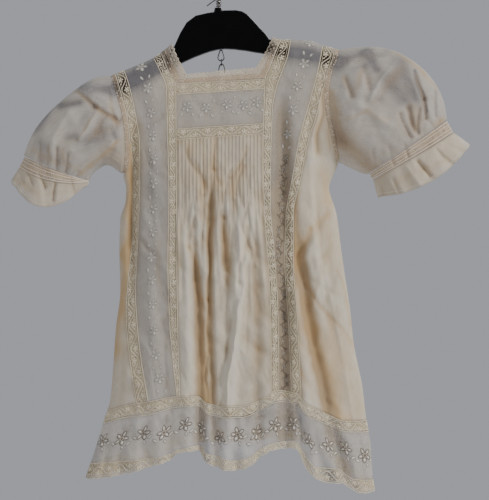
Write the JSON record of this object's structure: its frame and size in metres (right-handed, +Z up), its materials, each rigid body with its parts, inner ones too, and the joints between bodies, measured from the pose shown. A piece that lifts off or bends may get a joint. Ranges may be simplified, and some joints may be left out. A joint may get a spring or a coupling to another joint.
{
  "type": "embroidered baby dress on a clothes hanger",
  "caption": "Cream cotton baby dress with puffed sleeves, pintucks, lace insertions and white embroidered bands, hanging on a small black plastic hanger.",
  "frame": {"origin": "inside top of the hook, where it rests on its rail", "axes": "+Z up, -Y out of the front of the dress, +Y to the wall behind it, +X to the viewer's right"},
  "size_m": [0.5027, 0.0774, 0.5904],
  "materials": {
    "cream_lawn": "thin cream cotton lawn, matt",
    "embroidered_lawn": "sheer cool white cotton lawn with white satin-stitch sprigs",
    "lace": "yellowed cotton lace, open net with dense motifs",
    "hanger_plastic": "black, moulded, glossy",
    "hook_steel": "dulled steel wire",
    "button_shell": "small off-white buttons, satin"
  },
  "bodies": {
    "root": {"hanger_body": "hanger_plastic", "hanger_hook": "hook_steel", "hanger_winding": "hook_steel", "hanger_eye": "hook_steel", "hanger_ring": "hook_steel", "hanger_link": "hook_steel", "neck_beading": "lace", "neck_edging": "lace", "yoke_lace_upper": "lace", "yoke_band": "embroidered_lawn", "yoke_lace_lower": "lace", "centre_front": "cream_lawn", "inner_lace_left": "lace", "band_left": "embroidered_lawn", "outer_lace_left": "lace", "inner_lace_right": "lace", "band_right": "embroidered_lawn", "outer_lace_right": "lace", "side_front_left": "cream_lawn", "side_front_right": "cream_lawn", "back_left": "cream_lawn", "back_right": "cream_lawn", "back_placket": "cream_lawn", "back_button_1": "button_shell", "back_button_2": "button_shell", "back_button_3": "button_shell", "hem_lace": "lace", "hem_flounce": "embroidered_lawn", "hem_edging": "lace", "armhole_beading_left": "lace", "armhole_beading_right": "lace", "sleeve_left_front": "cream_lawn", "sleeve_left_back": "cream_lawn", "sleeve_right_front": "cream_lawn", "sleeve_right_back": "cream_lawn", "cuff_lace_left": "lace", "cuff_lace_right": "lace", "cuff_frill_left": "embroidered_lawn", "cuff_frill_right": "embroidered_lawn"}
  },
  "joints": []
}
